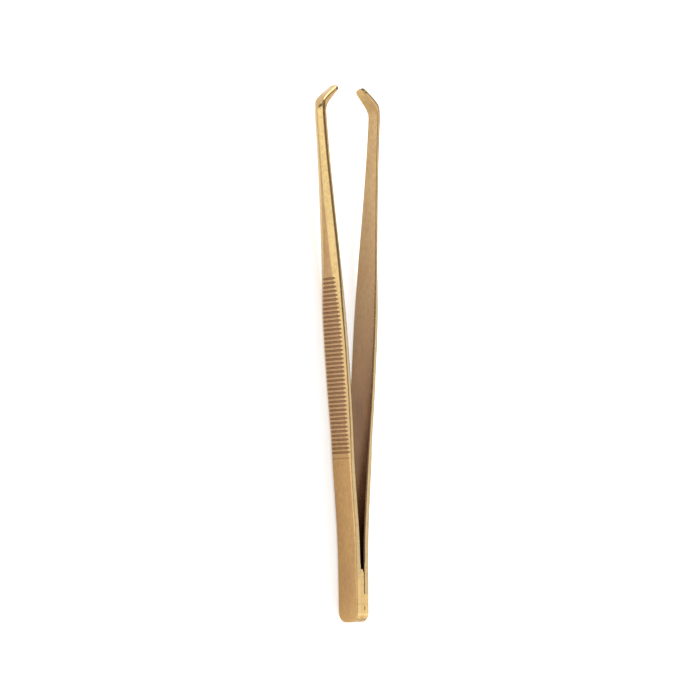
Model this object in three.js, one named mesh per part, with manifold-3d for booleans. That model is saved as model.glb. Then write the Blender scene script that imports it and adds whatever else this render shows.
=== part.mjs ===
// Spring tweezers with ribbed grips and inward-turned tips, lying on their side edges.
//
// Units are millimetres. +Y runs along the length, from the welded tail to the tips. The two legs open
// along X, the left leg at -X. +Z is up, across the width of the legs. The origin is on the surface that
// the tweezers lie on, below the middle of their box.
//
// Each leg is one strip of metal whose middle line is straight at the tail, curves outward past the
// spacer, runs straight to the bend and turns inward to the tip. It is modelled as two solids that meet
// on a flat plane just past the spacer, because that is where the leg starts to flex.

import * as THREE from 'three';
import { mergeVertices } from 'three/addons/utils/BufferGeometryUtils.js';
import Module from 'manifold-3d';

const wasm = await Module();
wasm.setup();

// ---- driving dimensions ----

const LENGTH = 120;            // tail end to tip ends
const LEG_THICKNESS = 1.4;
const TAIL_THICKNESS = 1.2;    // of a leg at the tail end, where its outer face is ground down
const TAIL_TAPER = 18;         // length over which it thins
const SPACER_THICKNESS = 0.92;

const ROOT_LENGTH = 12;        // straight part of each leg, where it is welded to the spacer
const SPREAD_ARC = 10.6;       // length over which a leg curves outward
const SPREAD_ANGLE = THREE.MathUtils.degToRad(4.25);
const TIP_ANGLE = THREE.MathUtils.degToRad(43.6);  // of the tip to the length, inward
const TIP_BEND_RADIUS = 4.4;   // of the middle line
const TIP_LENGTH = 4.6;        // straight part of the tip
const TIP_THICKNESS = 0.88;    // at the very end

const TAIL_WIDTH = 6.4;
const GRIP_WIDTH = 7.4;
const TIP_WIDTH = 3.3;         // at the bend
const TIP_NARROWING = 0.3;     // of the width, from the bend to the end
const GRIP_START = 30;         // the leg widens from here
const GRIP_FULL = 54;          // to its full width here
const TAPER_START = 60;        // and narrows from here to the bend
const TAIL_CORNER_RADIUS = 2.2;
const TIP_NOSE_LENGTH = 1.4;   // over which the end of the tip is rounded
const TIP_END_FLAT = 0.45;     // width left at the very end, as a share of the tip's width

// The bevels of a leg's outer edges reach in across its face and down its sides.
const BEVEL_TAIL = { across: 0.35, down: 0.2 };
const BEVEL_GROWS = [33, 43];  // they grow here, below the ribs, by
const BEVEL_GROWTH = { across: 0.75, down: 0.35 };
const BEVEL_WIDENS = [66, 82]; // and again here, until they nearly meet in a ridge, by
const BEVEL_WIDENING = { across: 0.7, down: 0.2 };
const BEVEL_TIP_LOSS = 0.25;   // of their reach down the sides, from there to the bend
const BEVEL_LIMIT = 0.9;       // of the half width, at most

const RIB_START = 37.43;
const RIB_COUNT = 42;
const RIB_PITCH = 0.944;
const RIB_GROOVE = 0.52;       // width of a groove at the surface
const RIB_FLOOR = 0.26;        // width of its floor
const RIB_DEPTH = 0.2;

const SPACER_END_LEFT = 11.9;  // the spacer's rounded end runs from here on the left leg
const SPACER_END_RIGHT = 10.2; // down to here on the right leg

const SEAM_GROOVE = 0.2;       // depth of the V along each welded seam
const SEAM_START = 2.5;        // the tail is ground smooth below this
const WELD_CROWN = 0.03;       // how far a weld stands proud
const WELD_RIGHT = [3.9, 6.3]; // stretch of the right seams that is filled
const WELD_LEFT = [SEAM_START, 11.7];

// How many steps each curve or run is drawn in.
const STEPS = {
  tailCorner: 7, spread: 7, belowRibs: 6, aboveRibs: 14, bend: 7, tip: 2, nose: 6, spacerEnd: 8,
};
const OVERSHOOT = 1;           // of a cutting shape, past what it cuts
const MERGE_DISTANCE = 1e-5;   // corners this close are one

const GOLD = { color: 0xc9a063, metalness: 0.9, roughness: 0.38 };
const WELD_GOLD = { color: 0xd2ab72, metalness: 0.9, roughness: 0.45 };

// ---- derived sizes ----

const LEFT = -1;
const RIGHT = 1;
const MIDDLE_Z = GRIP_WIDTH / 2;
const INNER_X = SPACER_THICKNESS / 2;
const TAIL_Y = -LENGTH / 2;
const LEG_MIDDLE_X = INNER_X + LEG_THICKNESS / 2;
const TIP_TURN = SPREAD_ANGLE + TIP_ANGLE;
const TIP_ARC = TIP_BEND_RADIUS * TIP_TURN;

// The leg's straight run between its two curves is what the other stretches leave of the length.
const CURVES_REACH = SPREAD_ARC / SPREAD_ANGLE * Math.sin(SPREAD_ANGLE)
  + TIP_BEND_RADIUS * (Math.sin(SPREAD_ANGLE) + Math.sin(TIP_ANGLE));
const TIP_REACH = TIP_LENGTH * Math.cos(TIP_ANGLE)
  + (TIP_THICKNESS - LEG_THICKNESS / 2) * Math.sin(TIP_ANGLE);
const STRAIGHT_RUN = (LENGTH - ROOT_LENGTH - CURVES_REACH - TIP_REACH) / Math.cos(SPREAD_ANGLE);

const BEND_START = ROOT_LENGTH + SPREAD_ARC + STRAIGHT_RUN;
const BEND_END = BEND_START + TIP_ARC;
const LEG_END = BEND_END + TIP_LENGTH;

// ---- the leg's middle line and section, by distance along the leg ----

// Stretches of the middle line: each has a length and the angle it turns outward.
const STRETCHES = [
  { length: ROOT_LENGTH, turn: 0 },
  { length: SPREAD_ARC, turn: SPREAD_ANGLE },
  { length: STRAIGHT_RUN, turn: 0 },
  { length: TIP_ARC, turn: -TIP_TURN },
  { length: TIP_LENGTH, turn: 0 },
];

// Point (x outward, y along) and heading of the middle line.
function middleLine(distance) {
  let x = LEG_MIDDLE_X;
  let y = TAIL_Y;
  let heading = 0;
  let left = distance;
  for (const { length, turn } of STRETCHES) {
    const run = Math.min(left, length);
    const turned = turn * run / length;
    const chord = turned === 0 ? run : run * Math.sin(turned / 2) / (turned / 2);
    x += chord * Math.sin(heading + turned / 2);
    y += chord * Math.cos(heading + turned / 2);
    heading += turned;
    left -= run;
  }
  return { x, y, heading };
}

const between = (value, start, end) => THREE.MathUtils.smoothstep(value, start, end);

function halfWidth(distance) {
  const widened = TAIL_WIDTH + (GRIP_WIDTH - TAIL_WIDTH) * between(distance, GRIP_START, GRIP_FULL);
  const tapered = widened - (GRIP_WIDTH - TIP_WIDTH) * between(distance, TAPER_START, BEND_START);
  const width = tapered - TIP_NARROWING * between(distance, BEND_START, LEG_END);
  let half = width / 2;
  if (distance < TAIL_CORNER_RADIUS) {
    const inset = TAIL_CORNER_RADIUS - distance;
    half -= TAIL_CORNER_RADIUS - Math.sqrt(TAIL_CORNER_RADIUS ** 2 - inset ** 2);
  }
  const noseStart = LEG_END - TIP_NOSE_LENGTH;
  if (distance > noseStart) {
    const t = Math.min((distance - noseStart) / TIP_NOSE_LENGTH, 1);
    half *= TIP_END_FLAT + (1 - TIP_END_FLAT) * Math.sqrt(1 - t * t);
  }
  return half;
}

function thickness(distance) {
  const { lerp } = THREE.MathUtils;
  if (distance < TAIL_TAPER) {
    return lerp(TAIL_THICKNESS, LEG_THICKNESS, distance / TAIL_TAPER);
  }
  return lerp(LEG_THICKNESS, TIP_THICKNESS, between(distance, BEND_END, LEG_END));
}

// The bevel along each outer edge: how far it reaches in across the face, and down the side.
function bevel(distance) {
  const atGrip = between(distance, BEVEL_GROWS[0], BEVEL_GROWS[1]);
  const aboveGrip = between(distance, BEVEL_WIDENS[0], BEVEL_WIDENS[1]);
  const nearTip = between(distance, BEVEL_WIDENS[1], BEND_START);
  const reach = (way) => {
    return BEVEL_TAIL[way] + BEVEL_GROWTH[way] * atGrip + BEVEL_WIDENING[way] * aboveGrip;
  };
  return {
    across: Math.min(reach('across'), halfWidth(distance) * BEVEL_LIMIT),
    down: reach('down') - BEVEL_TIP_LOSS * nearTip,
  };
}

// Six corners of the section, as [outward from the inner face, up], counter-clockwise seen from the tip.
function section(distance, depth) {
  const half = halfWidth(distance);
  const full = thickness(distance);
  const { across, down } = bevel(distance);
  const flat = half - across * (1 - depth / down);
  return [
    [0, -half],
    [full - down, -half],
    [full - depth, -flat],
    [full - depth, flat],
    [full - down, half],
    [0, half],
  ];
}

// ---- solids ----

function solid(positions, indices) {
  const geometry = new THREE.BufferGeometry();
  geometry.setAttribute('position', new THREE.Float32BufferAttribute(positions, 3));
  geometry.setIndex(indices);
  return geometry;
}

// A closed solid through a list of stations along one leg.
function loft(stations, side) {
  const positions = [];
  const indices = [];
  const count = section(0, 0).length;
  for (const { distance, depth } of stations) {
    const { x, y, heading } = middleLine(distance);
    const outX = Math.cos(heading);
    const outY = -Math.sin(heading);
    for (const [outward, up] of section(distance, depth)) {
      const offset = outward - LEG_THICKNESS / 2;
      positions.push(side * (x + offset * outX), y + offset * outY, MIDDLE_Z + up);
    }
  }
  const face = (a, b, c) => indices.push(...(side === RIGHT ? [a, b, c] : [a, c, b]));
  for (let station = 0; station < stations.length - 1; station += 1) {
    for (let corner = 0; corner < count; corner += 1) {
      const here = station * count + corner;
      const next = station * count + (corner + 1) % count;
      face(here, next + count, next);
      face(here, here + count, next + count);
    }
  }
  const last = (stations.length - 1) * count;
  for (let corner = 1; corner < count - 1; corner += 1) {
    face(0, corner, corner + 1);
    face(last, last + corner + 1, last + corner);
  }
  return solid(positions, indices);
}

const plain = (distance) => ({ distance, depth: 0 });

function evenly(start, end, steps) {
  return Array.from({ length: steps }, (_, i) => plain(start + (end - start) * i / steps));
}

function rootStations() {
  const corner = Array.from({ length: STEPS.tailCorner }, (_, i) => {
    return plain(TAIL_CORNER_RADIUS * (1 - Math.cos(Math.PI / 2 * i / STEPS.tailCorner)));
  });
  return [...corner, plain(TAIL_CORNER_RADIUS), plain(ROOT_LENGTH)];
}

function ribStations() {
  const wall = (RIB_GROOVE - RIB_FLOOR) / 2;
  const stations = [];
  for (let rib = 0; rib < RIB_COUNT; rib += 1) {
    const start = RIB_START + rib * RIB_PITCH;
    stations.push(plain(start));
    stations.push({ distance: start + wall, depth: RIB_DEPTH });
    stations.push({ distance: start + wall + RIB_FLOOR, depth: RIB_DEPTH });
    stations.push(plain(start + RIB_GROOVE));
  }
  return stations;
}

function bladeStations() {
  const spreadEnd = ROOT_LENGTH + SPREAD_ARC;
  const noseStart = LEG_END - TIP_NOSE_LENGTH;
  const nose = Array.from({ length: STEPS.nose + 1 }, (_, i) => {
    return plain(noseStart + TIP_NOSE_LENGTH * Math.sin(Math.PI / 2 * i / STEPS.nose));
  });
  const ribsEnd = RIB_START + (RIB_COUNT - 1) * RIB_PITCH + RIB_GROOVE;
  return [
    ...evenly(ROOT_LENGTH, spreadEnd, STEPS.spread),
    ...evenly(spreadEnd, RIB_START, STEPS.belowRibs),
    ...ribStations(),
    ...evenly(ribsEnd, BEND_START, STEPS.aboveRibs).slice(1),
    ...evenly(BEND_START, BEND_END, STEPS.bend),
    ...evenly(BEND_END, noseStart, STEPS.tip),
    ...nose,
  ];
}

function toManifold(geometry) {
  const bare = geometry.clone();
  bare.deleteAttribute('normal');
  bare.deleteAttribute('uv');
  const merged = mergeVertices(bare, MERGE_DISTANCE);
  return new wasm.Manifold(new wasm.Mesh({
    numProp: 3,
    vertProperties: new Float32Array(merged.getAttribute('position').array),
    triVerts: new Uint32Array(merged.getIndex().array),
  }));
}

function fromManifold(manifold) {
  const mesh = manifold.getMesh();
  return solid(Array.from(mesh.vertProperties), Array.from(mesh.triVerts));
}

// A bar along Y whose section is given as [x, z] points about a seam line.
function seamBar(points, x, z, start, end) {
  const outline = new THREE.Shape(points.map(([px, pz]) => new THREE.Vector2(px, pz)));
  const bar = new THREE.ExtrudeGeometry(outline, { depth: end - start, bevelEnabled: false });
  bar.rotateX(Math.PI / 2);
  bar.translate(x, TAIL_Y + end, z);
  return bar;
}

const seamX = (side) => side * INNER_X;
const seamZ = (edge) => MIDDLE_Z + edge * TAIL_WIDTH / 2;
const SEAMS = [LEFT, RIGHT].flatMap((side) => [1, -1].map((edge) => ({ side, edge })));

// The V along a seam, cut as a diamond bar centred on the edge line.
function seamCut({ side, edge }) {
  const d = SEAM_GROOVE;
  const diamond = [[-d, 0], [0, -d], [d, 0], [0, d]];
  return toManifold(seamBar(diamond, seamX(side), seamZ(edge), SEAM_START, ROOT_LENGTH + OVERSHOOT));
}

function cutSeams(geometry) {
  return fromManifold(SEAMS.map(seamCut).reduce((rest, cut) => rest.subtract(cut), toManifold(geometry)));
}

// Weld metal that fills the V and stands a little proud of it.
function weld({ side, edge }) {
  const d = SEAM_GROOVE;
  const crown = edge * WELD_CROWN;
  const outline = [[-d, 0], [0, -edge * d], [d, 0], [d / 2, crown], [-d / 2, crown]];
  const [start, end] = side === LEFT ? WELD_LEFT : WELD_RIGHT;
  return seamBar(outline, seamX(side), seamZ(edge), start, end);
}

// The spacer: its rounded upper end seen along Z, crossed with the tail's rounded corners seen along X.
function spacer() {
  const profile = new THREE.Shape();
  profile.moveTo(-INNER_X, 0);
  profile.lineTo(INNER_X, 0);
  profile.lineTo(INNER_X, SPACER_END_RIGHT);
  const round = new THREE.EllipseCurve(-INNER_X, SPACER_END_RIGHT, SPACER_THICKNESS,
    SPACER_END_LEFT - SPACER_END_RIGHT, 0, Math.PI / 2);
  round.getPoints(STEPS.spacerEnd).slice(1).forEach((point) => profile.lineTo(point.x, point.y));
  const along = new THREE.ExtrudeGeometry(profile, { depth: TAIL_WIDTH, bevelEnabled: false });
  along.translate(0, TAIL_Y, MIDDLE_Z - TAIL_WIDTH / 2);

  const half = TAIL_WIDTH / 2;
  const r = TAIL_CORNER_RADIUS;
  const outline = new THREE.Shape();
  outline.moveTo(0, half - r);
  outline.absarc(r, half - r, r, Math.PI, Math.PI / 2, true);
  outline.lineTo(SPACER_END_LEFT + OVERSHOOT, half);
  outline.lineTo(SPACER_END_LEFT + OVERSHOOT, -half);
  outline.absarc(r, r - half, r, -Math.PI / 2, -Math.PI, true);
  const across = new THREE.ExtrudeGeometry(outline, {
    depth: 2 * SPACER_THICKNESS, bevelEnabled: false, curveSegments: STEPS.tailCorner,
  });
  across.applyMatrix4(new THREE.Matrix4().makeBasis(
    new THREE.Vector3(0, 1, 0), new THREE.Vector3(0, 0, 1), new THREE.Vector3(1, 0, 0)));
  across.translate(-SPACER_THICKNESS, TAIL_Y, MIDDLE_Z);
  return cutSeams(fromManifold(toManifold(along).intersect(toManifold(across))));
}

// ---- assembly ----

function part(name, geometry, finish) {
  const mesh = new THREE.Mesh(geometry, new THREE.MeshStandardMaterial(finish));
  mesh.name = name;
  return mesh;
}

const group = new THREE.Group();
for (const [side, word] of [[LEFT, 'left'], [RIGHT, 'right']]) {
  group.add(part(`${word}_leg_root`, cutSeams(loft(rootStations(), side)), GOLD));
  group.add(part(`${word}_leg_blade`, loft(bladeStations(), side), GOLD));
}
group.add(part('tail_spacer', spacer(), GOLD));
for (const seam of SEAMS) {
  const word = seam.side === LEFT ? 'left' : 'right';
  const edge = seam.edge > 0 ? 'upper' : 'lower';
  group.add(part(`${word}_${edge}_weld`, weld(seam), WELD_GOLD));
}

export default group;
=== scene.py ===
"""Looks for a pair of gold-plated spring tweezers, built around their CAD frame.

The shape is written in millimetres and turned into metres as each mesh is made. "Distance" is measured
along a leg's middle line from the tail, "across" is the height above the middle of the leg's width, and
"outward" is the height above the leg's inner face. A stretch is a pair of distances between which
something changes.
"""

import math

import bpy
import numpy as np
from mathutils import Matrix, Vector


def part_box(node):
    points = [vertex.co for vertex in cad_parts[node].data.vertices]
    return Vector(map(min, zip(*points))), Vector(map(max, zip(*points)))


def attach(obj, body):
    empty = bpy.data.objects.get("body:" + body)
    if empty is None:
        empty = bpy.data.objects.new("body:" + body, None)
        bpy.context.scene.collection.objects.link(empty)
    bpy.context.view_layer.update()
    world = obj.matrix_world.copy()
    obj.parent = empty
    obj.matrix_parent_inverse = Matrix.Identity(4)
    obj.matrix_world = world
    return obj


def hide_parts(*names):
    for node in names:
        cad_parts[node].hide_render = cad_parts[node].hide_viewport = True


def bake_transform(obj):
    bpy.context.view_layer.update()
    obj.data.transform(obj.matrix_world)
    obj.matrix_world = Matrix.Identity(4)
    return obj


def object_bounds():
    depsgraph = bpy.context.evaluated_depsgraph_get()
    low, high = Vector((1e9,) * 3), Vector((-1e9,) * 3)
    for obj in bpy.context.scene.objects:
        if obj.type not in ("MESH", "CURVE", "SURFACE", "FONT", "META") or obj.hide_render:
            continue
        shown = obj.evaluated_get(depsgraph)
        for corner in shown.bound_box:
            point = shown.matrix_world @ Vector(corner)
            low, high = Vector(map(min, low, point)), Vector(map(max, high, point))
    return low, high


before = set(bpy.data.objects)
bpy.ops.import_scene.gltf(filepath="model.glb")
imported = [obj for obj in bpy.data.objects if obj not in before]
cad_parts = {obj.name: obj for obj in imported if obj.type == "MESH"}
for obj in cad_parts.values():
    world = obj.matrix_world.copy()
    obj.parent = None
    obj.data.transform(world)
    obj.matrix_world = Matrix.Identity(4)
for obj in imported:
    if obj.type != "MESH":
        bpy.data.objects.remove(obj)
cad_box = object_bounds()

MM = 0.001
QUARTER = math.pi / 2


def box_mm(node):
    """Lowest and highest corner of a CAD node, in millimetres."""
    return [np.array(corner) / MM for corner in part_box(node)]


# ---- sizes, in millimetres ----

LOW, HIGH = [np.array(corner) / MM for corner in cad_box]
SPACER_LOW, SPACER_HIGH = box_mm("tail_spacer")
ROOT_LOW, ROOT_HIGH = box_mm("right_leg_root")

LENGTH = HIGH[1] - LOW[1]
GRIP_WIDTH = HIGH[2] - LOW[2]
TAIL_WIDTH = ROOT_HIGH[2] - ROOT_LOW[2]
SPACER_THICKNESS = SPACER_HIGH[0] - SPACER_LOW[0]
SPACER_SLANT = 1.7
ROOT_LENGTH = ROOT_HIGH[1] - ROOT_LOW[1]
SPACER_END_LEFT = SPACER_HIGH[1] - SPACER_LOW[1]    # how far up the left leg the spacer's end reaches
SPACER_END_RIGHT = SPACER_END_LEFT - SPACER_SLANT   # and how far up the right one

LEG_THICKNESS = 1.4
TAIL_THICKNESS = 1.2
TAIL_TAPER = 18         # the tail thickens to the leg's own thickness over this length
SPREAD_ARC = 10.6       # length of the curve that leads a leg outward, past the spacer
SPREAD_ANGLE = math.radians(4.25)
TIP_ANGLE = math.radians(43.6)
TIP_BEND_RADIUS = 4.4
TIP_LENGTH = 4.6
TIP_THICKNESS = 0.88
TIP_WIDTH = 3.3
TIP_NARROWING = 0.3
GRIP_START, GRIP_FULL, TAPER_START = 30, 54, 60
TAIL_CORNER_RADIUS = 2.2
TIP_NOSE_LENGTH = 1.4
TIP_END_FLAT = 0.45     # of a tip's width is left at its very end

RIB_START = 37.43
RIB_COUNT = 42
RIB_PITCH = 0.944
RIB_GROOVE = 0.52
RIB_FLOOR = 0.26
RIB_DEPTH = 0.2
SCRIBE = 36.36          # a thin line below the ribs
SCRIBE_WIDTH = 0.42
SCRIBE_DEPTH = 0.12
NICK = 1.5              # past the start of the bend: a nick high on the left leg's outer side, drawn only as painted shade
NICK_WIDTH = 1.1
NICK_SLANT = 0.5
NICK_ACROSS = (0.25, 0.55)      # the nick's painted shade fades in between these heights
CREASE = 1.3            # past the start of the bend: a crease across the inner face
CREASE_WIDTH = 0.35
CREASE_DEPTH = 0.06
DARK_TIP_END = {-1: 0.3, 1: 0.8}    # a dark reflection is painted on the upper corner of each leg's tip over this length
DARK_TIP_ACROSS = (0.2, 0.5)        # and fades in between these heights

SEAM_START = 2.5        # the V along each seam begins here
SEAM_BLEND = 0.1
SEAM_CHAMFER = 0.13
GROUND_RIGHT = 6.2      # the right leg's side edges are ground smooth up to here
GROUND_BLEND = 0.06
WELD_CROWN = 0.004
WELD_UNEVEN = 0.6       # of the crown
WELD_WAVES = (7, 3.1)   # radians per millimetre
WELD_SINK = 0.01        # a weld's edges start this far below the surface
WELD_PIT = 0.07         # depth of the pit left in the right welds
PIT_OPENS, PIT_CLOSES = (2.6, 3.0), (3.3, 3.9)
WELDS = {"left": (SEAM_START, 11.7), "right": (SEAM_START, 6.3)}
END_ROUNDING = 0.1      # of the edges round the end of a tip

MIDDLE_Z = GRIP_WIDTH / 2
INNER_X = SPACER_THICKNESS / 2
TAIL_Y = LOW[1]
TAIL_STRAIGHT = TAIL_WIDTH / 2 - TAIL_CORNER_RADIUS     # half the straight part of the tail's end
TIP_TURN = SPREAD_ANGLE + TIP_ANGLE
CURVES_REACH = (SPREAD_ARC / SPREAD_ANGLE * math.sin(SPREAD_ANGLE)
                + TIP_BEND_RADIUS * (math.sin(SPREAD_ANGLE) + math.sin(TIP_ANGLE)))
TIP_REACH = (TIP_LENGTH * math.cos(TIP_ANGLE)
             + (TIP_THICKNESS - LEG_THICKNESS / 2) * math.sin(TIP_ANGLE))
STRAIGHT_RUN = (LENGTH - ROOT_LENGTH - CURVES_REACH - TIP_REACH) / math.cos(SPREAD_ANGLE)
MIDDLE_LINE = [         # the parts of a leg's middle line: length, and angle turned outward
    (ROOT_LENGTH, 0),
    (SPREAD_ARC, SPREAD_ANGLE),
    (STRAIGHT_RUN, 0),
    (TIP_BEND_RADIUS * TIP_TURN, -TIP_TURN),
    (TIP_LENGTH, 0),
]
BEND_START = ROOT_LENGTH + SPREAD_ARC + STRAIGHT_RUN
BEND_END = BEND_START + TIP_BEND_RADIUS * TIP_TURN
LEG_END = BEND_END + TIP_LENGTH

# ---- stretches ----

BEVEL_DEEPENS = (8, 26)
BEVEL_GROWS = (33, 43)
SHOULDER_SOFTENS = (55, 85)
BEVEL_WIDENS = (66, 82)
KNEE_SOFTENS = (BEVEL_WIDENS[0], BEVEL_WIDENS[1] + 8)
BEVEL_THINS = (BEVEL_WIDENS[1], BEND_START)
INNER_SHARPENS = (BEVEL_WIDENS[1], BEND_START - 8)
BEVEL_ENDS = (BEND_START + 0.5, BEND_START + 2.8)   # the wide bevels run out here
SEAM_OPENS = (SEAM_START - SEAM_BLEND, SEAM_START + SEAM_BLEND)
PAST_SEAM = (ROOT_LENGTH + 0.5, ROOT_LENGTH + 1.5)
GRIND_FADES = {-1: (8, 12), 1: (GROUND_RIGHT - GROUND_BLEND, GROUND_RIGHT + GROUND_BLEND)}

# ---- edges of a leg's section: a size at the tail, and what it gains over each stretch ----

BEVEL_ACROSS = (0.35, [(BEVEL_GROWS, 0.7), (BEVEL_WIDENS, 0.75)])
BEVEL_DOWN = (0.08, [(BEVEL_DEEPENS, 0.12), (BEVEL_GROWS, 0.25), (BEVEL_WIDENS, 0.3), (BEVEL_THINS, -0.14)])
BEVEL_ON_TIP = (0.26, 0.3)      # across and down, once the wide bevels have run out
BEVEL_LIMIT = 0.82              # of half the leg's width
TAIL_FLAT = 0.98                # of the tail's straight end, so that the bevel there never closes up

TAIL_EDGE = 0.01
INNER_RADIUS = (TAIL_EDGE, [(SEAM_OPENS, SEAM_CHAMFER - TAIL_EDGE), (PAST_SEAM, 0.15),
                            (INNER_SHARPENS, -0.1), (BEVEL_ENDS, -0.12)])
SHOULDER_RADIUS = (0.1, [(BEVEL_GROWS, 0.15), (SHOULDER_SOFTENS, 0.3), (BEVEL_ENDS, 0.7)])
KNEE_RADIUS = (0.12, [(KNEE_SOFTENS, 0.6), (BEVEL_ENDS, -0.5)])


# ---- the leg's shape, by distance along it ----

def smooth(value, start, end):
    """0 up to the start, 1 from the end on, and an S-curve between them."""
    t = np.clip((value - start) / (end - start), 0, 1)
    return t * t * (3 - 2 * t)


def stepped(distance, at_tail, steps):
    """A size that starts from its value at the tail and changes over each stretch."""
    size = at_tail
    for stretch, change in steps:
        size += change * smooth(distance, *stretch)
    return size


def middle_line(distance):
    """Point (x outward, y along) and heading of the middle line."""
    x, y, heading, left = INNER_X + LEG_THICKNESS / 2, TAIL_Y, 0.0, distance
    for length, turn in MIDDLE_LINE:
        run = min(left, length)
        turned = turn * run / length
        chord = run * np.sinc(turned / 2 / math.pi)
        x += chord * math.sin(heading + turned / 2)
        y += chord * math.cos(heading + turned / 2)
        heading += turned
        left -= run
    return x, y, heading


def half_width(distance):
    width = TAIL_WIDTH + (GRIP_WIDTH - TAIL_WIDTH) * smooth(distance, GRIP_START, GRIP_FULL)
    width -= (GRIP_WIDTH - TIP_WIDTH) * smooth(distance, TAPER_START, BEND_START)
    width -= TIP_NARROWING * smooth(distance, BEND_START, LEG_END)
    half = width / 2
    if distance < TAIL_CORNER_RADIUS:
        inset = TAIL_CORNER_RADIUS - distance
        half -= TAIL_CORNER_RADIUS - math.sqrt(TAIL_CORNER_RADIUS ** 2 - inset ** 2)
    nose = min((distance - LEG_END + TIP_NOSE_LENGTH) / TIP_NOSE_LENGTH, 1)
    if nose > 0:
        half *= TIP_END_FLAT + (1 - TIP_END_FLAT) * math.sqrt(1 - nose * nose)
    return half


def thickness(distance):
    if distance < TAIL_TAPER:
        return TAIL_THICKNESS + (LEG_THICKNESS - TAIL_THICKNESS) * distance / TAIL_TAPER
    return LEG_THICKNESS + (TIP_THICKNESS - LEG_THICKNESS) * smooth(distance, BEND_END, LEG_END)


def bevel(distance):
    """How far the bevel on an outer edge reaches across the face, and down the side."""
    across = min(stepped(distance, *BEVEL_ACROSS), half_width(distance) * BEVEL_LIMIT)
    down = stepped(distance, *BEVEL_DOWN)
    on_tip = smooth(distance, *BEVEL_ENDS)
    return [size + (tip_size - size) * on_tip for size, tip_size in zip((across, down), BEVEL_ON_TIP)]


def rib_centre(index):
    return RIB_START + RIB_GROOVE / 2 + index * RIB_PITCH


def dip(distance, centre, width):
    """1 at the centre of a mark across the leg, and 0 beside it."""
    return 1 - smooth(abs(distance - centre), 0, width / 2)


def groove_depth(distance):
    """Depth of the ribs' grooves and the scribed line, on the flat of the outer face."""
    nearest = np.clip(round((distance - rib_centre(0)) / RIB_PITCH), 0, RIB_COUNT - 1)
    from_rib = abs(distance - rib_centre(nearest))
    rib = RIB_DEPTH * (1 - smooth(from_rib, RIB_FLOOR / 2, RIB_GROOVE / 2))
    return rib + SCRIBE_DEPTH * dip(distance, SCRIBE, SCRIBE_WIDTH)


def darkened(distance, across, side, on_side_edge):
    """1 where dark is painted: painted shade in the left leg's slanting nick, and a painted dark reflection
    on the upper corner of a tip's end.
    """
    tinted = DARK_TIP_END[side]
    # painted dark reflection on the upper corner of the tip's end
    painted_dark_tip = smooth(distance, LEG_END - tinted, LEG_END - tinted / 2) * smooth(across, *DARK_TIP_ACROSS)
    if side > 0 or on_side_edge:
        return painted_dark_tip
    # painted shade in the slanting nick
    nick = dip(distance - NICK_SLANT * across, BEND_START + NICK - NICK_SLANT, NICK_WIDTH)
    return max(painted_dark_tip, nick * smooth(across, *NICK_ACROSS))


def section_corners(distance, inset):
    """Six corners of the section and the radius that rounds each one, anticlockwise seen from the tip."""
    depth = groove_depth(distance)
    half = half_width(distance)
    full = thickness(distance)
    across, down = bevel(distance)
    flat = half - across * (1 - depth / down)
    if distance < TAIL_CORNER_RADIUS:      # the bevel follows the tail's rounded corners and its end
        reach = (TAIL_CORNER_RADIUS - across) ** 2 - (TAIL_CORNER_RADIUS - distance) ** 2
        flat = TAIL_STRAIGHT * TAIL_FLAT + math.sqrt(max(reach, 0))
        depth += down * max(1 - distance / across, 0)
    floor = inset + CREASE_DEPTH * dip(distance, BEND_START + CREASE, CREASE_WIDTH)
    corners = [
        (floor, inset - half),
        (full - down, inset - half),
        (full - depth - inset, inset - flat),
        (full - depth - inset, flat - inset),
        (full - down, half - inset),
        (floor, half - inset),
    ]
    inner = stepped(distance, *INNER_RADIUS)
    shoulder = stepped(distance, *SHOULDER_RADIUS)
    knee = stepped(distance, *KNEE_RADIUS)
    return corners, [inner, shoulder, knee, knee, shoulder, inner]


# ---- mesh tools ----

ARC = np.linspace(0, 1, 5)
ARC_WEAR_SHEEN = 4 * ARC * (1 - ARC)          # 1 in the middle of a rounding, and 0 at its ends
SHARP = math.radians(35)                # edges that turn more than this stay crisp
SUPPORT = 0.05                          # a loop this far beside each rounding keeps the faces flat
SUPPORT_SHARE = 0.25                    # or this share of the room there is, when that is less
EXTRA = [0, 1, 3, 1, 0, 3]              # extra points along the edge after each corner
CORNER_WEAR_SHEEN = [0.4, 1, 1, 1, 1, 0.4]    # how much each corner is brightened by use and by a painted highlight

# The most that a rounding takes of the edge before its corner, and of the edge after it.
SHARE_BEFORE = np.array([0.42, 0.6, 0.42, 0.42, 0.42, 0.25])
SHARE_AFTER = np.array([0.25, 0.42, 0.42, 0.42, 0.6, 0.42])


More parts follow.
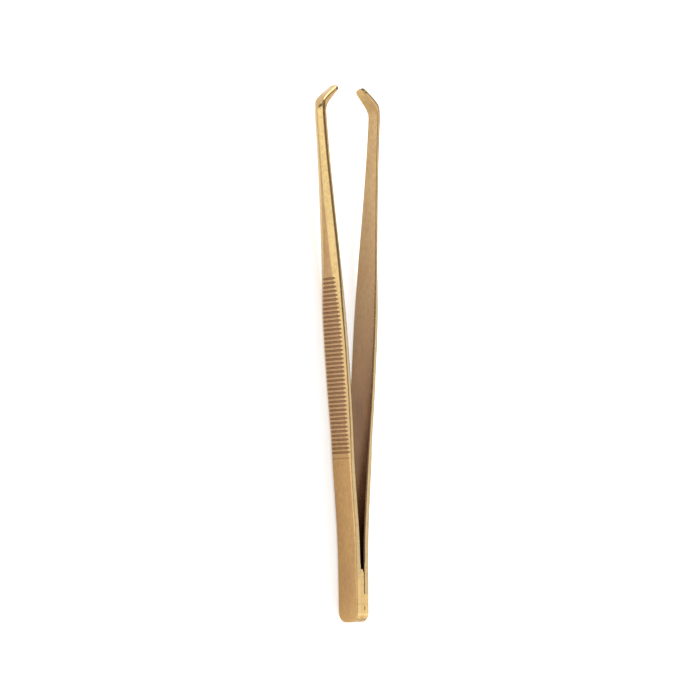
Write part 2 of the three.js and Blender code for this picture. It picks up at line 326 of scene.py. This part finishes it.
def rounded(corners, radii):
    """Section points with every corner rounded, and for each point its edge brightening (use plus painted
    highlight) and the edge it is on.
    """
    corners = np.array(corners)
    into = corners - np.roll(corners, 1, axis=0)
    length_in = np.linalg.norm(into, axis=1)
    into = into / length_in[:, None]
    out = np.roll(into, -1, axis=0)
    length_out = np.roll(length_in, -1)
    turn = np.arccos(np.clip((into * out).sum(axis=1), -1, 1))
    reach = np.array(radii) * np.tan(turn / 2)
    before_cut = np.minimum(reach, SHARE_BEFORE * length_in)
    after_cut = np.minimum(reach, SHARE_AFTER * length_out)
    points, wear_and_sheen, edge = [], [], []
    for i, corner in enumerate(corners):
        following = (i + 1) % len(corners)
        start, end = corner - into[i] * before_cut[i], corner + out[i] * after_cut[i]
        room = length_out[i] - after_cut[i] - before_cut[following]
        room_before = length_in[i] - before_cut[i] - after_cut[i - 1]
        support = min(SUPPORT, room * SUPPORT_SHARE)
        support_before = min(SUPPORT, room_before * SUPPORT_SHARE)
        arc = [(1 - t) ** 2 * start + 2 * t * (1 - t) * corner + t * t * end for t in ARC]
        spread = np.linspace(support, room - support, EXTRA[i] + 2)[:-1]
        points += [start - into[i] * support_before, *arc, *(end + out[i] * along for along in spread)]
        wear_and_sheen += [0, *(ARC_WEAR_SHEEN * CORNER_WEAR_SHEEN[i]), *([0] * len(spread))]
        edge += [(i - 1) % len(corners), *([i] * (len(ARC) + len(spread)))]
    return np.array(points), wear_and_sheen, edge


def new_mesh(name, points, faces, layers):
    """An object from points in millimetres, with its smooth faces and named point layers."""
    mesh = bpy.data.meshes.new(name)
    mesh.from_pydata((np.array(points) * MM).tolist(), [], faces)
    for layer, values in layers.items():
        values = np.array(values, np.float32)
        kind, field = ("FLOAT_VECTOR", "vector") if values.ndim == 2 else ("FLOAT", "value")
        attribute = mesh.attributes.new(layer, kind, "POINT")
        attribute.data.foreach_set(field, values.ravel())
    mesh.polygons.foreach_set("use_smooth", [True] * len(mesh.polygons))
    mesh.set_sharp_from_angle(angle=SHARP)
    mesh.update()
    piece = bpy.data.objects.new(name, mesh)
    bpy.context.scene.collection.objects.link(piece)
    return piece


def loft_faces(rings, count, flip):
    """Faces that join rings of count points each, with a flat cap on the first and the last ring."""
    faces = []
    for ring in range(rings - 1):
        for i in range(count):
            here, beside = ring * count + i, ring * count + (i + 1) % count
            faces.append((here, here + count, beside + count, beside))
    faces.append(tuple(range(count)))
    faces.append(tuple(range(rings * count - 1, (rings - 1) * count - 1, -1)))
    return [face[::-1] for face in faces] if flip else faces


# ---- the legs ----

# Edges of the section, each numbered by the corner before it.
SIDE_EDGES, BEVEL_EDGES, OUTER_EDGE, INNER_EDGE = (0, 4), (1, 3), 2, 5

STATIONS = {"corner": 20, "seam": 5, "spread": 30, "scribe": 9, "above": 40, "bend": 56, "nose": 14, "end": 4}
TAIL_STATIONS = (3.5, 5, 7, 9, 11)
GROOVE_WALL = (0.42, 0.58, 0.72, 0.86, 1)   # stations down a groove's wall, as shares of half its width
BEFORE_RIBS = 0.3
PAST_BEND = (1, 2)
NOSE_TURN = 1.3         # radians of the nose's curve, after which the end's rounding takes over


def leg_stations():
    """Distances along a leg at which its section is drawn, with the inset that rounds the tip's end."""
    rounding = [(LEG_END - END_ROUNDING * (1 - math.cos(a)), END_ROUNDING * (1 - math.sin(a)))
                for a in np.linspace(QUARTER, 0, STATIONS["end"])]
    corner = TAIL_CORNER_RADIUS * (1 - np.cos(np.linspace(0, QUARTER, STATIONS["corner"])))
    seam_start = np.linspace(*SEAM_OPENS, STATIONS["seam"])
    grind_end = [GROUND_RIGHT + step for step in (-GROUND_BLEND, 0, GROUND_BLEND)]
    spread = np.linspace(PAST_SEAM[0], SCRIBE - SCRIBE_WIDTH, STATIONS["spread"])
    scribe = SCRIBE + SCRIBE_WIDTH / 2 * np.linspace(-1, 1, STATIONS["scribe"])
    groove = RIB_GROOVE / 2 * np.array([*(-share for share in GROOVE_WALL), 0, *GROOVE_WALL])
    ribs = [rib_centre(rib) + step for rib in range(RIB_COUNT) for step in (*groove, RIB_PITCH / 2)]
    above = np.linspace(max(ribs), BEND_START, STATIONS["above"])
    bend = np.linspace(BEND_START, BEND_END, STATIONS["bend"])
    past_bend = [BEND_END + step for step in PAST_BEND]
    nose = LEG_END - TIP_NOSE_LENGTH + TIP_NOSE_LENGTH * np.sin(np.linspace(0, NOSE_TURN, STATIONS["nose"]))
    plain = [*corner, *seam_start, *TAIL_STATIONS, *grind_end, *spread, *scribe, RIB_START - BEFORE_RIBS,
             *ribs, *above, *bend, *past_bend, *nose]
    plain = [distance for distance in sorted(set(np.round(plain, 5))) if distance < rounding[0][0]]
    return [*((distance, 0) for distance in plain), *rounding]


def make_leg(name, side):
    """One leg, from its tail to its tip. side is -1 for the left leg and 1 for the right one."""
    names = ("groove", "wear_and_sheen", "inner", "grind", "polish", "side", "mark")
    points, strip, layers = [], [], {layer: [] for layer in names}
    stations = leg_stations()
    for distance, inset in stations:
        ground = 1 - smooth(distance, *GRIND_FADES[side])
        x, y, heading = middle_line(distance)
        section, wear_and_sheen, edge = rounded(*section_corners(distance, inset))
        for (outward, across), tinted, on in zip(section, wear_and_sheen, edge):
            on_side = on in SIDE_EDGES
            offset = outward - LEG_THICKNESS / 2
            points.append((side * (x + offset * math.cos(heading)), y - offset * math.sin(heading),
                           MIDDLE_Z + across))
            strip.append((across, distance, outward))
            layers["wear_and_sheen"].append(tinted)
            layers["groove"].append(groove_depth(distance) / RIB_DEPTH if on == OUTER_EDGE else 0)
            layers["inner"].append(1 if on == INNER_EDGE else 0)
            layers["polish"].append(1 if on in BEVEL_EDGES else 0)
            layers["grind"].append(ground if on_side else 0)
            layers["side"].append(1 if on_side else 0)
            # the mark layer carries painted shade in the nick and a painted dark reflection on the tip ends
            layers["mark"].append(0 if on == INNER_EDGE else darkened(distance, across, side, on_side))
    faces = loft_faces(len(stations), len(section), side < 0)
    return new_mesh(name, points, faces, {"strip": strip, **layers})


# ---- the spacer and its welds ----

CORNER_POINTS = 12
CORNER_TURN = 1.2       # radians of the tail's corner that the spacer's profiles follow
CHAMFER_POINTS = 5
SPACER_END_POINTS = 14
SPACER_MIDDLE = 6       # a point part way up each side of the spacer
WELD_STATIONS = 60
CROWN_POINTS = 11


def make_spacer():
    """The strip between the tails: a stack of profiles across its width."""
    top = TAIL_WIDTH / 2
    round_corner = TAIL_STRAIGHT + TAIL_CORNER_RADIUS * np.sin(np.linspace(0, CORNER_TURN, CORNER_POINTS))
    chamfer = top - SEAM_CHAMFER * np.linspace(1, 0, CHAMFER_POINTS)
    rise = sorted(set(np.round([0, TAIL_STRAIGHT / 2, *round_corner, *chamfer], 5)))
    heights = [-z for z in reversed(rise[1:])] + rise
    points, strip = [], []
    for z in heights:
        inset = max(0, SEAM_CHAMFER - (top - abs(z)))
        over_corner = max(abs(z) - TAIL_STRAIGHT, 0)
        start = TAIL_CORNER_RADIUS - math.sqrt(max(TAIL_CORNER_RADIUS ** 2 - over_corner ** 2, 0))
        right = INNER_X - inset
        profile = [(INNER_X, start), (INNER_X, SEAM_OPENS[0]), (right, SEAM_OPENS[1]),
                   (right, SPACER_MIDDLE), (right, SPACER_END_RIGHT)]
        rise_left = SPACER_END_LEFT - SPACER_END_RIGHT - inset ** 2 / SEAM_CHAMFER
        for turn in np.linspace(0, QUARTER, SPACER_END_POINTS)[1:]:
            profile.append((-right + 2 * right * math.cos(turn),
                            SPACER_END_RIGHT + rise_left * math.sin(turn)))
        profile += [(-right, SPACER_MIDDLE), (-right, SEAM_OPENS[1]), (-INNER_X, SEAM_OPENS[0]),
                    (-INNER_X, start)]
        points += [(x, TAIL_Y + y, MIDDLE_Z + z) for x, y in profile]
        strip += [(z, y, x) for x, y in profile]
    side_face = [1.0 if abs(across) > top - SEAM_CHAMFER else 0.0 for across, _, _ in strip]
    layers = {"strip": strip, "grind": side_face, "wear_and_sheen": [0] * len(points)}
    return new_mesh("spacer", points, loft_faces(len(heights), len(profile), False), layers)


def make_weld(name, side, word, edge):
    """Weld metal that fills the V along one seam, ground nearly flush."""
    seam_z = edge * TAIL_WIDTH / 2
    points, strip = [], []
    stations = np.linspace(*WELDS[word], WELD_STATIONS)
    for y in stations:
        waves = math.sin(WELD_WAVES[0] * y) * math.sin(WELD_WAVES[1] * y + side)
        crown = WELD_CROWN * (1 + WELD_UNEVEN * waves)
        if word == "right":
            crown -= WELD_PIT * smooth(y, *PIT_OPENS) * (1 - smooth(y, *PIT_CLOSES))
        outline = [(-SEAM_CHAMFER, -WELD_SINK), (0, -SEAM_CHAMFER), (SEAM_CHAMFER, -WELD_SINK)]
        outline += [(SEAM_CHAMFER * u, crown * (1 + math.cos(math.pi * u)) / 2)
                    for u in np.linspace(1, -1, CROWN_POINTS)]
        points += [(side * INNER_X + u, TAIL_Y + y, MIDDLE_Z + seam_z + edge * v) for u, v in outline]
        strip += [(edge * v, y, u) for u, v in outline]
    faces = loft_faces(len(stations), len(outline), edge > 0)
    layers = {"strip": strip, "grind": [1] * len(points), "wear_and_sheen": [0] * len(points)}
    return new_mesh(name, points, faces, layers)


# ---- materials ----

GOLD = (0.54, 0.375, 0.165, 1)          # towards the tips
ROSE = (0.475, 0.285, 0.113, 1)         # towards the tail
BEVEL = (0.62, 0.45, 0.2, 1)            # the polished bevels
SATIN_SIDE = (0.375, 0.28, 0.142, 1)    # the sides, up to just past the grip
GROUND = (0.46, 0.318, 0.138, 1)        # freshly ground metal
RIB_ROSE = (0.485, 0.3, 0.158, 1)       # the outer faces along the ribs
# painted shade in the nick and a painted dark reflection on the tips' end corners
PAINTED_DARK = (0.06, 0.035, 0.012, 1)
COPPER = (0.42, 0.235, 0.115, 1)
# painted shade in the grooves and the scribed line, and the darker tone of the mottle and the grinding lines
DARK_TONE_AND_SHADE = (0.22, 0.115, 0.055, 1)
# edges brightened by use, lightened further as a painted highlight on the roundings
WORN_SHEEN = (0.66, 0.45, 0.19, 1)
INNER_END = (0.55, 0.375, 0.15, 1)      # the legs' inner faces on the tips
INNER_TIP = (0.62, 0.435, 0.21, 1)      # below the tips, from where painted shade darkens them towards the tail, between the closing legs
# painted shade on the inner faces at the tail, where the legs close together
INNER_TAIL_SHADE = (0.25, 0.155, 0.097, 1)
PAPER = (0.90, 0.90, 0.895, 1)
PAPER_FIBRE = (0.93, 0.93, 0.925, 1)
PAPER_GRAIN = 900.0
PAPER_ROUGH = 0.9
PAPER_SPECULAR = 0.1
PAPER_GLOW = 0.48
BEHIND_FLOOR = (0.95, 0.95, 0.95, 1)

# Stretches over which a colour or a polish comes or goes.
GOLD_COMES = (35, 105)
RIB_ROSE_COMES, RIB_ROSE_GOES = (36, 42), (72, 86)
# over this stretch the painted shade on the inner faces lifts
INNER_SHADE_LIFTS = (48, 114)
INNER_END_COMES = (BEND_START + CREASE, BEND_START + CREASE + 1.5)
SATIN_SIDE_GOES = (70, 95)
POLISH_COMES = (40, 85)
WEAR_SHINES = (50, 85)

# Each noise: features per millimetre across, along and outward, then its detail and its roughness.
NOISES = {
    "grain": ((3.5, 0.16, 3.5), 4.0, 0.6),
    "hairlines": ((18, 0.5, 18), 2.0, 0.5),
    "speckle": ((4.5, 4.5, 4.5), 4.0, 0.7),
    "cloud": ((0.35, 0.12, 0.35), 3.0, 0.5),
    "across_lines": ((0.25, 1.4, 0.25), 3.0, 0.5),
    "mottle": ((1.3, 0.9, 1.3), 4.0, 0.7),
}

# From a range of noise to the strength of a tint.
COPPER_CLOUDS = (0.4, 0.7, 0, 0.6)
INNER_CLOUDS = (0.35, 0.7, 0, 0.5)
DARK_MOTTLE = (0.4, 0.7, 0, 0.3)
DARK_LINES = (0.5, 0.65, 0, 0.3)
# strength of the painted shade in the grooves and the scribed line
GROOVE_SHADE = 0.75
# strength of the edge colour: real brightening by use plus a painted highlight
WEAR_SHEEN_TINT = 0.4
LOW_POLISH = 0.25       # strength of the bevels' colour before the polish comes

LEG_ROUGH = 0.25
GROUND_ROUGH = 0.3

# Changes in roughness.
SPECKLE_ROUGH = (-0.05, 0.06)
CLOUD_ROUGH = (-0.03, 0.04)
NOISE_SPAN = (0.3, 0.7)
GROOVE_ROUGH = 0.08
POLISH_SMOOTH = 0.08
WEAR_ROUGH = (0.14, -0.06)

# Each bump: its depth in metres, and its strength.
GRAIN_BUMP, GRAIN_BUMP_GROUND = (1.6e-5, 0.6), 0.1      # and the grain's strength on ground metal
HAIRLINE_BUMP = (2e-6, 0.5)
SPECKLE_BUMP = (1.1e-5, 0.7)
ACROSS_BUMP = (3e-5, 0.7)


class Nodes:
    """Short calls for building the node tree of a material or a world."""

    def __init__(self, owner):
        owner.use_nodes = True
        self.tree = owner.node_tree

    def add(self, kind, settings=None, **inputs):
        node = self.tree.nodes.new(kind)
        for key, value in (settings or {}).items():
            setattr(node, key, value)
        for key, value in inputs.items():
            self.set(node.inputs[key.replace("_", " ")], value)
        return node

    def set(self, socket, value):
        if isinstance(value, bpy.types.NodeSocket):
            self.tree.links.new(value, socket)
        else:
            socket.default_value = value

    def layer(self, name, output="Fac"):
        return self.add("ShaderNodeAttribute", {"attribute_name": name}).outputs[output]

    def noise(self, scales, detail, roughness):
        """Noise that follows the leg, with so many features per millimetre across, along and outward."""
        place = self.add("ShaderNodeMapping", Vector=self.layer("strip", "Vector"), Scale=scales)
        return self.add("ShaderNodeTexNoise", Vector=place.outputs["Vector"], Scale=1.0, Detail=detail,
                        Roughness=roughness).outputs["Fac"]

    def remap(self, value, low, high, to_low, to_high):
        return self.add("ShaderNodeMapRange", Value=value, From_Min=low, From_Max=high,
                        To_Min=to_low, To_Max=to_high).outputs["Result"]

    def math(self, operation, a, b=0.0):
        node = self.add("ShaderNodeMath", {"operation": operation})
        self.set(node.inputs[0], a)
        self.set(node.inputs[1], b)
        return node.outputs["Value"]

    def mix(self, factor, a, b):
        return self.add("ShaderNodeMixRGB", Fac=factor, Color1=a, Color2=b).outputs["Color"]

    def bump(self, height, distance, strength, normal=None):
        node = self.add("ShaderNodeBump", Height=height, Strength=strength, Distance=distance)
        if normal is not None:
            self.set(node.inputs["Normal"], normal)
        return node.outputs["Normal"]


def gold_material(name, roughness, is_leg):
    """Satin gold plating over brushed steel: grain along the leg, fine speckle, edges brightened by use and
    by a painted highlight, painted shade in the grooves, on the inner faces towards the tail and in the left
    leg's nick, and a painted dark reflection on the tips' ends.
    """
    material = bpy.data.materials.new(name)
    n = Nodes(material)
    noise = {kind: n.noise(*settings) for kind, settings in NOISES.items()}
    distance = n.add("ShaderNodeSeparateXYZ", Vector=n.layer("strip", "Vector")).outputs["Y"]
    grind = n.layer("grind")
    wear_and_sheen = n.layer("wear_and_sheen")

    colour = n.mix(n.remap(distance, *GOLD_COMES, 1, 0), GOLD, ROSE)
    colour = n.mix(n.remap(noise["cloud"], *COPPER_CLOUDS), colour, COPPER)
    rough = n.remap(noise["speckle"], *NOISE_SPAN, *(roughness + change for change in SPECKLE_ROUGH))
    rough = n.math("ADD", rough, n.remap(noise["cloud"], *NOISE_SPAN, *CLOUD_ROUGH))
    if is_leg:
        groove = n.layer("groove")
        polish = n.layer("polish")
        along_ribs = n.math("MULTIPLY", n.remap(distance, *RIB_ROSE_COMES, 0, 1),
                            n.remap(distance, *RIB_ROSE_GOES, 1, 0))
        colour = n.mix(along_ribs, colour, RIB_ROSE)
        satin = n.math("MULTIPLY", n.layer("side"), n.remap(distance, *SATIN_SIDE_GOES, 1, 0))
        colour = n.mix(satin, colour, SATIN_SIDE)
        # inner faces: painted shade darkens them towards the tail
        inside = n.mix(n.remap(distance, *INNER_SHADE_LIFTS, 1, 0), INNER_TIP, INNER_TAIL_SHADE)
        inside = n.mix(n.remap(distance, *INNER_END_COMES, 0, 1), inside, INNER_END)
        inside = n.mix(n.remap(noise["cloud"], *INNER_CLOUDS), inside, COPPER)
        colour = n.mix(n.layer("inner"), colour, inside)
        shine = n.math("MULTIPLY", polish, n.remap(distance, *POLISH_COMES, LOW_POLISH, 1))
        colour = n.mix(shine, colour, BEVEL)
        # painted shade in the grooves and the scribed line
        colour = n.mix(n.math("MULTIPLY", groove, GROOVE_SHADE), colour, DARK_TONE_AND_SHADE)
        rough = n.math("ADD", rough, n.math("MULTIPLY", groove, GROOVE_ROUGH))
        rough = n.math("SUBTRACT", rough, n.math("MULTIPLY", polish, POLISH_SMOOTH))
    colour = n.mix(n.remap(noise["mottle"], *DARK_MOTTLE), colour, DARK_TONE_AND_SHADE)
    colour = n.mix(grind, colour, GROUND)
    colour = n.mix(n.math("MULTIPLY", grind, n.remap(noise["across_lines"], *DARK_LINES)), colour, DARK_TONE_AND_SHADE)
    # edges brightened by use, with a painted highlight on the roundings
    colour = n.mix(n.math("MULTIPLY", wear_and_sheen, WEAR_SHEEN_TINT), colour, WORN_SHEEN)
    rough = n.math("ADD", rough, n.math("MULTIPLY", wear_and_sheen, n.remap(distance, *WEAR_SHINES, *WEAR_ROUGH)))
    if is_leg:
        # painted shade and painted dark reflection, from the mark layer
        colour = n.mix(n.layer("mark"), colour, PAINTED_DARK)

    depth, strength = GRAIN_BUMP
    normal = n.bump(noise["grain"], depth, n.remap(grind, 0, 1, strength, GRAIN_BUMP_GROUND))
    normal = n.bump(noise["hairlines"], *HAIRLINE_BUMP, normal)
    normal = n.bump(noise["speckle"], *SPECKLE_BUMP, normal)
    depth, strength = ACROSS_BUMP
    normal = n.bump(noise["across_lines"], depth, n.math("MULTIPLY", grind, strength), normal)

    shader = n.tree.nodes["Principled BSDF"]
    n.set(shader.inputs["Base Color"], colour)
    n.set(shader.inputs["Roughness"], rough)
    n.set(shader.inputs["Normal"], normal)
    shader.inputs["Metallic"].default_value = 1.0
    return material


def floor_material():
    """Matt pale paper that glows a little, so that hardly any shadow shows on it."""
    material = bpy.data.materials.new("paper")
    n = Nodes(material)
    place = n.add("ShaderNodeNewGeometry").outputs["Position"]
    fibre = n.add("ShaderNodeTexNoise", Vector=place, Scale=PAPER_GRAIN, Detail=3.0).outputs["Fac"]
    shader = n.tree.nodes["Principled BSDF"]
    n.set(shader.inputs["Base Color"], n.mix(fibre, PAPER, PAPER_FIBRE))
    shader.inputs["Roughness"].default_value = PAPER_ROUGH
    shader.inputs["Specular IOR Level"].default_value = PAPER_SPECULAR
    shader.inputs["Emission Color"].default_value = (1, 1, 1, 1)
    shader.inputs["Emission Strength"].default_value = PAPER_GLOW
    return material


# ---- surroundings, in metres ----

CENTRE = (Vector(cad_box[0]) + Vector(cad_box[1])) / 2
FLOOR_REACH = 4.0
FLOOR_SIDES = 64
FLOOR_DROP = 0.00002
ROOM_DIM = 0.27
ROOM_BRIGHT = 0.65
ROOM_ENDS = (0.5, 0.85)     # how far along the tweezers' length a direction points where the room brightens

# Each light: azimuth and elevation in degrees, distance, width, height, radiance.
SOFTBOXES = {
    "low_left": (176, 8, 0.9, 0.9, 0.26, 1.65),
    "high_right": (-8, 49, 0.8, 0.7, 0.45, 1.75),
    "beyond_tips": (88, 26, 0.8, 0.8, 0.6, 2.9),
    "behind_tail": (-72, 36, 0.8, 0.95, 0.85, 1.55),
}

CAMERA_TURN = math.radians(41)
CAMERA_TILT = math.radians(-4.25)
CAMERA_ROLL = math.radians(0.7)
CAMERA_DISTANCE = 0.621
CAMERA_LEFT = 0.000121      # the camera stands this far left of the line through the tweezers' middle
CAMERA_UP = 0.000554        # and this far above it
CAMERA_LENS = 143
CAMERA_SENSOR = 36


def make_floor():
    """A wide round floor just under the tweezers."""
    angles = np.linspace(0, 2 * math.pi, FLOOR_SIDES + 1)[:-1]
    ring = [(FLOOR_REACH * math.cos(a), FLOOR_REACH * math.sin(a), -FLOOR_DROP) for a in angles]
    mesh = bpy.data.meshes.new("floor")
    mesh.from_pydata(ring, [], [tuple(range(len(ring)))])
    floor = bpy.data.objects.new("floor", mesh)
    floor.data.materials.append(floor_material())
    bpy.context.scene.collection.objects.link(floor)


def softbox(name, azimuth, elevation, distance, width, height, radiance):
    """A soft rectangular light that looks at the tweezers from a direction given in degrees."""
    turn, rise = math.radians(azimuth), math.radians(elevation)
    direction = Vector((math.cos(rise) * math.cos(turn), math.cos(rise) * math.sin(turn), math.sin(rise)))
    light = bpy.data.lights.new(name, "AREA")
    light.shape = "RECTANGLE"
    light.size, light.size_y = width, height
    light.energy = radiance * math.pi * width * height
    holder = bpy.data.objects.new(name, light)
    holder.location = CENTRE + direction * distance
    holder.rotation_euler = direction.to_track_quat("Z", "Y").to_euler()
    bpy.context.scene.collection.objects.link(holder)


def make_world():
    """A dim room over the tweezers, brighter towards both of their ends. Behind the floor it is pale."""
    world = bpy.data.worlds.new("studio")
    bpy.context.scene.world = world
    n = Nodes(world)
    direction = n.add("ShaderNodeTexCoord").outputs["Generated"]
    along = n.math("ABSOLUTE", n.add("ShaderNodeSeparateXYZ", Vector=direction).outputs["Y"])
    glow = n.remap(along, *ROOM_ENDS, ROOM_DIM, ROOM_BRIGHT)
    seen = n.add("ShaderNodeLightPath").outputs["Is Camera Ray"]
    n.set(n.tree.nodes["Background"].inputs["Color"], n.mix(seen, glow, BEHIND_FLOOR))


def make_camera():
    """Looks at the tweezers from their left and above, nearly square to their length."""
    turn, tilt = CAMERA_TURN, CAMERA_TILT
    level = Vector((math.cos(turn), 0, math.sin(turn)))
    forward = Vector((math.sin(turn) * math.cos(tilt), -math.sin(tilt), -math.cos(turn) * math.cos(tilt)))
    upright = level.cross(forward)
    right = level * math.cos(CAMERA_ROLL) - upright * math.sin(CAMERA_ROLL)
    up = level * math.sin(CAMERA_ROLL) + upright * math.cos(CAMERA_ROLL)
    middle = Vector((0, 0, MIDDLE_Z * MM))
    place = middle - forward * CAMERA_DISTANCE - right * CAMERA_LEFT + up * CAMERA_UP
    data = bpy.data.cameras.new("camera")
    data.sensor_width = CAMERA_SENSOR
    data.lens = CAMERA_LENS
    camera = bpy.data.objects.new("camera", data)
    bpy.context.scene.collection.objects.link(camera)
    camera.matrix_world = Matrix.Translation(place) @ Matrix((right, up, -forward)).transposed().to_4x4()
    bpy.context.scene.camera = camera


# ---- assembly ----

leg_gold = gold_material("leg_gold", LEG_ROUGH, True)
ground_gold = gold_material("ground_gold", GROUND_ROUGH, False)

for side, word in ((-1, "left"), (1, "right")):
    leg = make_leg(f"{word}_leg", side)
    leg.data.materials.append(leg_gold)
    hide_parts(f"{word}_leg_root", f"{word}_leg_blade")
    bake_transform(leg)
    for edge, level in ((1, "upper"), (-1, "lower")):
        weld = make_weld(f"{word}_{level}_bead", side, word, edge)
        weld.data.materials.append(ground_gold)
        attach(weld, "tail")
        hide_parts(f"{word}_{level}_weld")

spacer = make_spacer()
spacer.data.materials.append(ground_gold)
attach(spacer, "tail")
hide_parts("tail_spacer")

make_floor()
make_world()
for name, settings in SOFTBOXES.items():
    softbox(name, *settings)
make_camera()
bpy.context.scene.view_settings.view_transform = "Standard"
